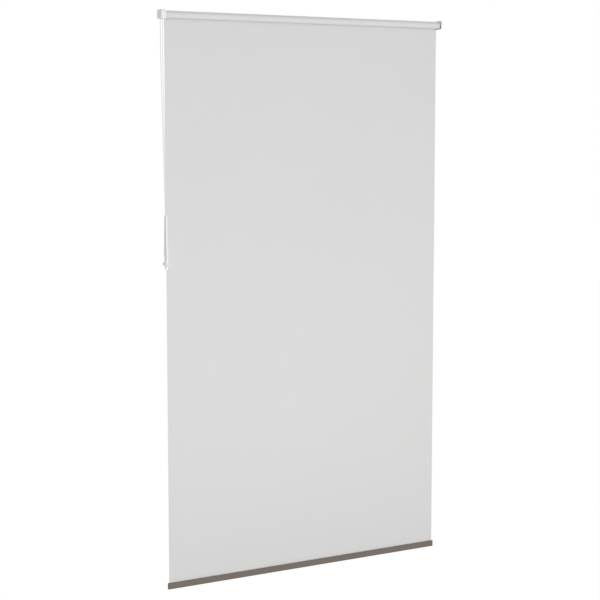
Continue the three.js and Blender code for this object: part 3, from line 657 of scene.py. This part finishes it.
def make_hub():
    """A plug in the tube with a flange, a neck, and a fork inside."""
    x = extent("left_bracket_cover")[0][0]
    centre = HUB_RADIUS - FLANGE_ROUND
    profile = [
        (HUB_BORE, HUB_START),
        (HUB_NECK - HUB_CHAMFER, HUB_START),
        (HUB_NECK, HUB_START + HUB_CHAMFER),
        (HUB_NECK, FLANGE_START - HUB_CHAMFER),
        (HUB_NECK + HUB_CHAMFER, FLANGE_START),
        *rim(centre, FLANGE_START + FLANGE_ROUND, FLANGE_ROUND, -90, 0),
        *rim(centre, FLANGE_END - FLANGE_ROUND, FLANGE_ROUND, 0, 90),
        (PLUG_RADIUS, FLANGE_END),
        (PLUG_RADIUS, HUB_END - HUB_TIP),
        (PLUG_RADIUS - HUB_TIP, HUB_END),
        (SPINDLE_BORE, HUB_END),
        (SPINDLE_BORE, CHAMBER_END),
        (HUB_BORE, CHAMBER_END),
    ]
    made = rough_object("hub", turned([(r, x + u) for r, u in profile], ROLLER_Y, 0.0))
    sector = [
        *arc((0, 0), FORK_OUTER, 180 - FORK_HALF, 180 + FORK_HALF, FORK_STEPS),
        *arc((0, 0), FORK_INNER, 180 + FORK_HALF, 180 - FORK_HALF, FORK_STEPS),
    ]
    fork = prism([sector], x + FORK_START, x + FORK_END)
    combine(made, [shifted(fork, ROLLER_Y)], "UNION")
    combine(made, [key_slot(x + FLANGE_END, x + HUB_END + PAST)], "DIFFERENCE")
    place(made, white_plastic, "roller", "white_plastic", "drive_hub")


PLUG_FLANGE = 13.5
PLUG_ROUND = 0.7
PIN_BORE = 3.3
CHAMBER_BORE = 5.0
PLUG_FLANGE_START = 8.5
PLUG_FLANGE_END = 10.9
CHAMBER_START = 12.6
PLUG_END = 44.0
PLUG_TIP = 1.0
PLUG_TIP_DROP = 0.6


def make_idler_plug():
    """A plug in the tube's other end, with a bore for the pin and a chamber for its spring."""
    x = extent("right_bracket_cover")[0][1]
    centre = PLUG_FLANGE - PLUG_ROUND
    profile = [
        (PIN_BORE, PLUG_FLANGE_START),
        *rim(centre, PLUG_FLANGE_START + PLUG_ROUND, PLUG_ROUND, -90, 0),
        *rim(centre, PLUG_FLANGE_END - PLUG_ROUND, PLUG_ROUND, 0, 90),
        (PLUG_RADIUS, PLUG_FLANGE_END),
        (PLUG_RADIUS, PLUG_END - PLUG_TIP),
        (PLUG_RADIUS - PLUG_TIP_DROP, PLUG_END),
        (CHAMBER_BORE, PLUG_END),
        (CHAMBER_BORE, CHAMBER_START),
        (PIN_BORE, CHAMBER_START),
    ]
    made = rough_object("idler_end_plug", turned([(r, x - u) for r, u in profile], ROLLER_Y, 0.0))
    combine(made, [key_slot(x - PLUG_END - PAST, x - PLUG_FLANGE_END)], "DIFFERENCE")
    place(made, white_plastic, "roller", "white_plastic", "idler_plug")


# The idler's spring, between its cap and the pin's collar
SPRING_WIRE = 0.9
SPRING_TURNS = 7
SPRING_STEPS = 24
SPRING_SIDES = 12


def make_spring():
    (x0, x1), (y0, y1), _ = extent("idler_spring")
    wire = SPRING_WIRE / 2
    coil = (y1 - y0) / 2 - wire
    rings = []
    for t in np.linspace(0, 1, SPRING_STEPS * SPRING_TURNS + 1):
        turn = 2 * math.pi * SPRING_TURNS * t
        away = Vector((0, math.cos(turn), math.sin(turn)))
        middle = Vector((x0 + wire + (x1 - x0 - SPRING_WIRE) * t, ROLLER_Y, 0)) + away * coil
        ring = []
        for a in np.linspace(0, 2 * math.pi, SPRING_SIDES, endpoint=False):
            ring.append(middle + away * wire * math.cos(a) + Vector((wire * math.sin(a), 0, 0)))
        rings.append(ring)
    made = rough_object("pin_spring", skin(rings))
    place(made, spring_steel, "roller", "spring_steel", "idler_spring")
    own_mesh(made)


make_hub()
make_idler_plug()
make_spring()

# Cloth: the roll, the tape that holds it, and the sheet
CLOTH_HALF = 0.18
ROLL_RADIUS = 14.25
TURN_PITCH = 0.78
TURNS = 1.5
ROLL_STEPS = 165
ROLL_SPANS = 60
ROLL_WAVE = 0.05
ROLL_WAVE_ALONG = 90
ROLL_WAVE_ROUND = 14
TAIL = 60.0
TAIL_FULL = 0.17
TAIL_TIP_OUTER = 0.03
TAIL_TIP_INNER = 0.01
TUBE_RADIUS = 12.5
TAPE_HALF = 5.0
TAPE_INNER = 12.6
TAPE_OUTER = 12.8
TAPE_STEPS = 12
SHEET_COLUMNS = 60
SHEET_ROWS = 110
SHEET_WAVE = 0.35
SHEET_WAVE_ACROSS = 210
SHEET_WAVE_DOWN = 520
SHEET_WAVE_SEED = 0.7
SHEET_HELD = 1.02
FACING = 0.5
CLOTH_X, SHEET_Y, SHEET_Z = extent("fabric_sheet")
CLOTH_WIDTH = CLOTH_X[1] - CLOTH_X[0]
SHEET_MIDDLE = sum(SHEET_Y) / 2
HANG = SHEET_Z[1] - SHEET_Z[0]


def make_roll():
    """The turns that stay on the tube. They run inwards over the top from where the sheet leaves.
    Under the roll, the outer turn thins down to the one inside it, so the cloth shows no edge."""
    outer, inner = [], []
    tail = math.radians(TAIL)
    for angle in np.linspace(-tail, 2 * math.pi * TURNS, ROLL_STEPS + 1):
        radius = ROLL_RADIUS - TURN_PITCH * max(angle, 0) / (2 * math.pi)
        below = ROLL_RADIUS + CLOTH_HALF - TURN_PITCH * (1 + angle / (2 * math.pi))
        thinned = min(max((-angle / tail - TAIL_FULL) / (1 - TAIL_FULL), 0.0), 1.0)
        thinned = thinned * thinned * (3 - 2 * thinned)
        for row, offset, tip in (
            (outer, CLOTH_HALF, TAIL_TIP_OUTER),
            (inner, -CLOTH_HALF, TAIL_TIP_INNER),
        ):
            r = (radius + offset) * (1 - thinned) + (below + tip) * thinned
            row.append((ROLLER_Y + r * math.cos(angle), r * math.sin(angle)))
    bm = prism([outer + inner[::-1]], *CLOTH_X, steps=ROLL_SPANS)
    for v in bm.verts:
        away = Vector((0, v.co.y - ROLLER_Y, v.co.z))
        around = (v.co.y / ROLL_WAVE_ROUND, v.co.z / ROLL_WAVE_ROUND)
        wave = ROLL_WAVE * noise.noise(Vector((v.co.x / ROLL_WAVE_ALONG, *around)))
        v.co += away.normalized() * wave
    made = rough_object("cloth_roll", bm)
    place(made, cloth_wound, "roller", "blackout_fabric", "fabric_roll")
    made.data.materials.append(cloth_outside)
    for polygon in made.data.polygons:
        y, z = polygon.center.y - ROLLER_Y * MM, polygon.center.z
        outwards = (polygon.normal.y * y + polygon.normal.z * z) / math.hypot(y, z)
        polygon.material_index = 1 if outwards > FACING else 0
    return made


def make_tape():
    """A thin strip between the tube and the cloth, at the front of the roll."""
    half = math.degrees(TAPE_HALF / TUBE_RADIUS)
    strip = [
        *arc((ROLLER_Y, 0), TAPE_OUTER, 180 - half, 180 + half, TAPE_STEPS),
        *arc((ROLLER_Y, 0), TAPE_INNER, 180 + half, 180 - half, TAPE_STEPS),
    ]
    made = rough_object("mounting_tape", prism([strip], *CLOTH_X))
    return place(made, tape, "roller", "tape", "fabric_tape")


def make_sheet():
    """A long flat drop, with the least unevenness that hanging cloth has, and none at its ends."""
    bm = bmesh.new()
    sides = []
    for face in (-1, 1):
        grid = []
        for i in range(SHEET_ROWS + 1):
            t = i / SHEET_ROWS
            z = SHEET_Z[1] - HANG * t
            held = math.sin(math.pi * min(1.0, t * SHEET_HELD)) ** 0.5 if 0 < t < 1 else 0.0
            row = []
            for j in range(SHEET_COLUMNS + 1):
                x = CLOTH_X[0] + CLOTH_WIDTH * j / SHEET_COLUMNS
                point = Vector((x / SHEET_WAVE_ACROSS, SHEET_WAVE_SEED, z / SHEET_WAVE_DOWN))
                wave = SHEET_WAVE * held * noise.noise(point)
                row.append(bm.verts.new((x, SHEET_MIDDLE + face * CLOTH_HALF + wave, z)))
            grid.append(row)
        sides.append(grid)
    front, back = sides
    for i in range(SHEET_ROWS):
        for j in range(SHEET_COLUMNS):
            for grid in sides:
                corners = (grid[i][j], grid[i + 1][j], grid[i + 1][j + 1], grid[i][j + 1])
                bm.faces.new(corners)
    for i in range(SHEET_ROWS):
        for j in (0, SHEET_COLUMNS):
            bm.faces.new((front[i][j], back[i][j], back[i + 1][j], front[i + 1][j]))
    for j in range(SHEET_COLUMNS):
        for i in (0, SHEET_ROWS):
            bm.faces.new((front[i][j], front[i][j + 1], back[i][j + 1], back[i][j]))
    made = rough_object("cloth_sheet", bm)
    place(made, cloth_front, "headrail", "blackout_fabric", "fabric_sheet")
    made.data.materials.append(cloth_back)
    for polygon in made.data.polygons:
        polygon.material_index = 1 if polygon.normal.y > FACING else 0
    return made


# Bottom rail, its caps, and the hem in its groove
RAIL_CORNER = 2.6
RAIL_WALL = 1.2
CHANNEL = 2.7
CHANNEL_DROP = 4.1
CHANNEL_STEPS = 36
GROOVE = 0.8
GROOVE_CHAMFER = 0.25
OUTER_STEPS = 12
SPLINE = 1.6
HEM_FIT = 0.3
HEM_STEPS = 40
CAP_PLATE = 2.0
CAP_EDGE = 0.2
CAP_FILLET = 0.7
CAP_PLUG = 10.0
PLUG_FIT = 0.3
PLUG_LEAD = 0.6
PLUG_TIP_DEPTH = 0.92
PLUG_TIP_INSET = 0.3
RAIL_X, RAIL_Y, RAIL_Z = extent("bottom_rail")
RAIL_MIDDLE = sum(RAIL_Y) / 2
CHANNEL_Z = RAIL_Z[1] - CHANNEL_DROP
HOLLOW_TOP = CHANNEL_Z - CHANNEL - RAIL_WALL
HOLLOW_MIDDLE = CHANNEL_Z - 12


def hollow(clearance):
    """The outline of the rail's lower chamber, or of a plug that fits in it."""
    inset = RAIL_WALL + clearance
    depth = (RAIL_Y[0] + inset, RAIL_Y[1] - inset)
    height = (RAIL_Z[0] + inset, HOLLOW_TOP - clearance)
    return rounded(depth, height, RAIL_CORNER - RAIL_WALL)


def make_rail():
    """A hollow section with a groove along its top that opens into a round channel."""
    (y0, y1), (z0, z1), r, y = RAIL_Y, RAIL_Z, RAIL_CORNER, RAIL_MIDDLE
    mouth = math.degrees(math.acos(GROOVE / CHANNEL))
    outline = [
        (y + GROOVE + GROOVE_CHAMFER, z1),
        (y + GROOVE, z1 - GROOVE_CHAMFER),
        *arc((y, CHANNEL_Z), CHANNEL, mouth, -180 - mouth, CHANNEL_STEPS),
        (y - GROOVE, z1 - GROOVE_CHAMFER),
        (y - GROOVE - GROOVE_CHAMFER, z1),
        *arc((y0 + r, z1 - r), r, 90, 180, OUTER_STEPS),
        *arc((y0 + r, z0 + r), r, 180, 270, OUTER_STEPS),
        *arc((y1 - r, z0 + r), r, -90, 0, OUTER_STEPS),
        *arc((y1 - r, z1 - r), r, 0, 90, OUTER_STEPS),
    ]
    made = rough_object("rail", prism([outline, hollow(0.0)], *RAIL_X))
    place(made, paint, "rail", "rail_paint", "bottom_rail")


def plug_tip(plug):
    """The outline at the plug's tip, drawn in on all sides."""
    tip = []
    for y, z in plug:
        inwards = PLUG_TIP_INSET if z < HOLLOW_MIDDLE else -PLUG_TIP_INSET
        tip.append((RAIL_MIDDLE + PLUG_TIP_DEPTH * (y - RAIL_MIDDLE), z + inwards))
    return tip


def rail_cap(name, node, side):
    """A plate with rounded edges over the rail's end, and a plug that goes into it."""
    plate_x = extent(node)[0]
    outer = plate_x[1] if side > 0 else plate_x[0]
    inner = outer - side * CAP_PLATE
    plug_end = inner - side * CAP_PLUG
    plug = hollow(PLUG_FIT)
    sections = [
        (plug_end, plug_tip(plug)),
        (plug_end + side * PLUG_LEAD, plug),
        (inner, plug),
        (inner, rounded(RAIL_Y, RAIL_Z, RAIL_CORNER, CAP_EDGE)),
        (inner + side * CAP_EDGE, rounded(RAIL_Y, RAIL_Z, RAIL_CORNER)),
    ]
    for depth, inset in fillet(CAP_FILLET, steps=5):
        sections.append((outer - side * depth, rounded(RAIL_Y, RAIL_Z, RAIL_CORNER, inset)))
    made = rough_object(name, loft(sections))
    place(made, cap_plastic, "rail", "rail_cap_plastic", node)


def make_hem():
    """The hem goes round the spline in the groove and is welded to the sheet above it."""
    inner = SPLINE + HEM_FIT
    outer = inner + 2 * CLOTH_HALF
    neck = math.degrees(math.acos(CLOTH_HALF / outer))
    centre = (RAIL_MIDDLE, CHANNEL_Z)
    outline = [
        (RAIL_MIDDLE + CLOTH_HALF, RAIL_Z[1]),
        *arc(centre, outer, neck, -180 - neck, HEM_STEPS),
        (RAIL_MIDDLE - CLOTH_HALF, RAIL_Z[1]),
    ]
    made = rough_object("cloth_hem", prism([outline, circle(centre, inner)], *CLOTH_X))
    return place(made, cloth_front, "rail", "blackout_fabric", "hem_loop")


make_rail()
rail_cap("rail_cap_left", "rail_end_cap_left", -1)
rail_cap("rail_cap_right", "rail_end_cap_right", 1)
cloth_roll = make_roll()
mounting_tape = make_tape()
cloth_sheet = make_sheet()
cloth_hem = make_hem()
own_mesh(cloth_sheet)

# Chain tensioner
PULLEY_Y = -30.0
PULLEY_Z = -927.0
TENSIONER_X = 3.7
HOUSING_TOP = 149.0
HOUSING_FOOT = 14.0
HOUSING_DEPTH_TOP = 6.9
HOUSING_DEPTH_BOTTOM = 12.8
HOUSING_HALF = 4.2
HOUSING_CORNER = 3.0
HOUSING_FILLET = 1.3
HOUSING_WALL = 1.2
HOUSING_RIM = 1.5
HOUSING_LEAST_CORNER = 0.6
PARTING = 0.15
PARTING_EDGE = 0.15
AXLE_HOLE = 1.8
AXLE_CUT = 6
AXLE_SIDES = 48
RIB = [(-4.5, 16), (4.5, 16), (1.5, 96), (-1.5, 96)]
RIB_SUNK = 0.6


def taper(inset=0.0, above=0.0):
    """The housing's outline from the side: slim at the top, and wide round the pulley."""
    top, bottom = HOUSING_DEPTH_TOP - inset, HOUSING_DEPTH_BOTTOM - inset
    head = PULLEY_Z + HOUSING_TOP + above
    foot = PULLEY_Z - HOUSING_FOOT + inset
    r = max(HOUSING_CORNER - inset, HOUSING_LEAST_CORNER)
    return [
        (PULLEY_Y + top, head),
        (PULLEY_Y - top, head),
        (PULLEY_Y - bottom, PULLEY_Z),
        *arc((PULLEY_Y - bottom + r, foot + r), r, 180, 270, CORNER_STEPS),
        *arc((PULLEY_Y + bottom - r, foot + r), r, -90, 0, CORNER_STEPS),
        (PULLEY_Y + bottom, PULLEY_Z),
    ]


def housing(name, node, side):
    """One half of the housing: a shell open at the top, with a rib that keeps the strands apart."""
    parting = TENSIONER_X + side * PARTING
    face = TENSIONER_X + side * HOUSING_HALF
    sections = [
        (parting, taper(PARTING_EDGE, -PARTING_EDGE)),
        (parting + side * PARTING_EDGE, taper()),
    ]
    for depth, inset in fillet(HOUSING_FILLET):
        sections.append((face - side * depth, taper(inset, -inset)))
    made = rough_object(name, loft(sections))
    room = sorted((parting - side * PAST, face - side * HOUSING_WALL))
    combine(made, [prism([taper(HOUSING_RIM, PAST)], *room)], "DIFFERENCE")
    rib = [(PULLEY_Y + y, PULLEY_Z + z) for y, z in RIB]
    rib_x = sorted((parting, face - side * RIB_SUNK))
    combine(made, [prism([rib], *rib_x)], "UNION")
    start, end = TENSIONER_X - AXLE_CUT, TENSIONER_X + AXLE_CUT
    hole = [(HAIR, start), (AXLE_HOLE, start), (AXLE_HOLE, end), (HAIR, end)]
    combine(made, [turned(hole, PULLEY_Y, PULLEY_Z, AXLE_SIDES)], "DIFFERENCE")
    place(made, white_plastic, "headrail", "white_plastic", node)


BASE_HALF = 3.9
BASE_FILLET = 3.0
BASE_TOP = 12.0
BASE_BOTTOM = 6.5
BASE_TAPER = 14.0
BASE_CORNER = 4.0
SHOULDER_SHARE = 0.4
ARM_HALF = 2.8
ARM_RISE = 16.0
ARM_HEIGHT = 11.0
ARM_CORNER = 0.8
SCREW_RISE = 3.2
SCREW = 1.6
SCREW_CUT = (-50.0, 2.0)


def base_outline(z, inset):
    """The base's outline from the side, narrower at the foot, made smaller all round by inset."""
    top, bottom, r = BASE_TOP - inset, BASE_BOTTOM - inset, BASE_CORNER - inset
    foot = z[0] + inset
    shoulder = z[0] + BASE_TAPER + inset * SHOULDER_SHARE
    return [
        (PULLEY_Y + top, z[1] - inset),
        (PULLEY_Y - top, z[1] - inset),
        (PULLEY_Y - top, shoulder),
        *arc((PULLEY_Y - bottom + r, foot + r), r, 180, 270, CORNER_STEPS),
        *arc((PULLEY_Y + bottom - r, foot + r), r, -90, 0, CORNER_STEPS),
        (PULLEY_Y + top, shoulder),
    ]


def make_base():
    """A block below the housing, with an arm to the wall and a screw hole through both."""
    z = extent("tensioner_base")[2]
    depths = fillet(BASE_FILLET)
    sections = [(TENSIONER_X - BASE_HALF + d, base_outline(z, i)) for d, i in reversed(depths)]
    sections += [(TENSIONER_X + BASE_HALF - d, base_outline(z, i)) for d, i in depths]
    made = rough_object("chain_base", loft(sections))
    arm_foot = z[0] + ARM_RISE
    arm = rounded(
        (TENSIONER_X - ARM_HALF, TENSIONER_X + ARM_HALF),
        (arm_foot, arm_foot + ARM_HEIGHT),
        ARM_CORNER,
    )
    combine(made, [prism([arm], PULLEY_Y, 0.0, axis="y")], "UNION")
    screw = circle((TENSIONER_X, arm_foot + SCREW_RISE), SCREW)
    combine(made, [prism([screw], *SCREW_CUT, axis="y")], "DIFFERENCE")
    # The base wears the lighter copy of the white plastic: painted light that makes it read brighter
    # than the housing.
    place(made, painted_light_plastic, "headrail", "white_plastic", "tensioner_base")


housing("chain_housing_left", "tensioner_housing_left", -1)
housing("chain_housing_right", "tensioner_housing_right", 1)
make_base()

# CAD nodes that stay, with their finish
KEPT = {
    "left_wall_bracket": zinc,
    "right_wall_bracket": zinc,
    "clutch_housing": white_plastic,
    "clutch_spindle": nylon,
    "wrap_spring_outer": spring_steel,
    "wrap_spring_inner": spring_steel,
    "chain_sprocket": nylon,
    "clutch_retaining_clip": spring_steel,
    "roller_tube": aluminium,
    "idler_bush": nylon,
    "idler_pin": nylon,
    "idler_spring_cap": dark_plastic,
    "hem_spline": nylon,
    "tensioner_pulley": nylon,
    "tensioner_axle": spring_steel,
}
for name, material in KEPT.items():
    for material_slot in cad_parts[name].material_slots:
        material_slot.material = material

# Studio, in metres: a pale floor, an even sky, and in front a soft sun and a soft panel near the floor
SKY = 0.56
SKY_SEEN = 1.0
SUN = 0.572
SUN_FROM = (0.26, -0.95, 0.16)
SUN_WIDTH = 30
PANEL = 103
PANEL_SIZE = (4.0, 5.2)
PANEL_PLACE = (0.4, -4.0, -2.9)
FLOOR_Z = -3.0
FLOOR_HALF = 14.0
FLOOR_GREY = 0.93
FLOOR_ROUGHNESS = 0.95
FLOOR_WHITE = 1.15
FLOOR_SHARE = 0.75


def seen_directly(tree):
    """1 for what the camera sees, also in gloss and through clear material."""
    path = tree.nodes.new("ShaderNodeLightPath").outputs
    value = path["Is Camera Ray"]
    for key in ("Is Glossy Ray", "Is Transmission Ray"):
        node = tree.nodes.new("ShaderNodeMath")
        node.operation = "MAXIMUM"
        tree.links.new(value, node.inputs[0])
        tree.links.new(path[key], node.inputs[1])
        value = node.outputs[0]
    return value


def make_world():
    world = bpy.data.worlds.new("studio")
    bpy.context.scene.world = world
    world.use_nodes = True
    tree = world.node_tree
    light = tree.nodes["Background"]
    light.inputs["Color"].default_value = (1, 1, 1, 1)
    light.inputs["Strength"].default_value = SKY
    white = tree.nodes.new("ShaderNodeBackground")
    white.inputs["Color"].default_value = (1, 1, 1, 1)
    white.inputs["Strength"].default_value = SKY_SEEN
    mix = tree.nodes.new("ShaderNodeMixShader")
    tree.links.new(seen_directly(tree), mix.inputs[0])
    tree.links.new(light.outputs[0], mix.inputs[1])
    tree.links.new(white.outputs[0], mix.inputs[2])
    tree.links.new(mix.outputs[0], tree.nodes["World Output"].inputs["Surface"])


def make_sun():
    data = bpy.data.lights.new("sun", "SUN")
    data.energy = SUN
    data.angle = math.radians(SUN_WIDTH)
    sun = bpy.data.objects.new("sun", data)
    sun.rotation_mode = "QUATERNION"
    sun.rotation_quaternion = Vector(SUN_FROM).to_track_quat("Z", "Y")
    bpy.context.scene.collection.objects.link(sun)


def make_panel():
    """A wide soft lamp that lies in front of the blind and lights it from below."""
    data = bpy.data.lights.new("panel", "AREA")
    data.shape = "RECTANGLE"
    data.size, data.size_y = PANEL_SIZE
    data.energy = PANEL
    panel = bpy.data.objects.new("panel", data)
    panel.location = PANEL_PLACE
    panel.rotation_euler = (math.pi, 0, 0)
    panel.visible_camera = False
    panel.visible_glossy = False
    bpy.context.scene.collection.objects.link(panel)


def make_floor():
    bm = bmesh.new()
    corners = [(-1, -1), (1, -1), (1, 1), (-1, 1)]
    bm.faces.new([bm.verts.new((FLOOR_HALF * x, FLOOR_HALF * y, FLOOR_Z)) for x, y in corners])
    mesh = bpy.data.meshes.new("floor")
    bm.to_mesh(mesh)
    bm.free()
    floor = bpy.data.objects.new("floor", mesh)
    bpy.context.scene.collection.objects.link(floor)
    material = bpy.data.materials.new("floor")
    material.use_nodes = True
    tree = material.node_tree
    shader = tree.nodes["Principled BSDF"]
    shader.inputs["Base Color"].default_value = (FLOOR_GREY, FLOOR_GREY, FLOOR_GREY, 1)
    shader.inputs["Roughness"].default_value = FLOOR_ROUGHNESS
    glow = tree.nodes.new("ShaderNodeEmission")
    glow.inputs["Strength"].default_value = FLOOR_WHITE
    share = tree.nodes.new("ShaderNodeMath")
    share.operation = "MULTIPLY"
    tree.links.new(seen_directly(tree), share.inputs[0])
    share.inputs[1].default_value = FLOOR_SHARE
    mix = tree.nodes.new("ShaderNodeMixShader")
    tree.links.new(share.outputs[0], mix.inputs[0])
    tree.links.new(shader.outputs[0], mix.inputs[1])
    tree.links.new(glow.outputs[0], mix.inputs[2])
    tree.links.new(mix.outputs[0], tree.nodes["Material Output"].inputs["Surface"])
    mesh.materials.append(material)


make_world()
make_sun()
make_panel()
make_floor()
bpy.context.scene.view_settings.view_transform = "Standard"
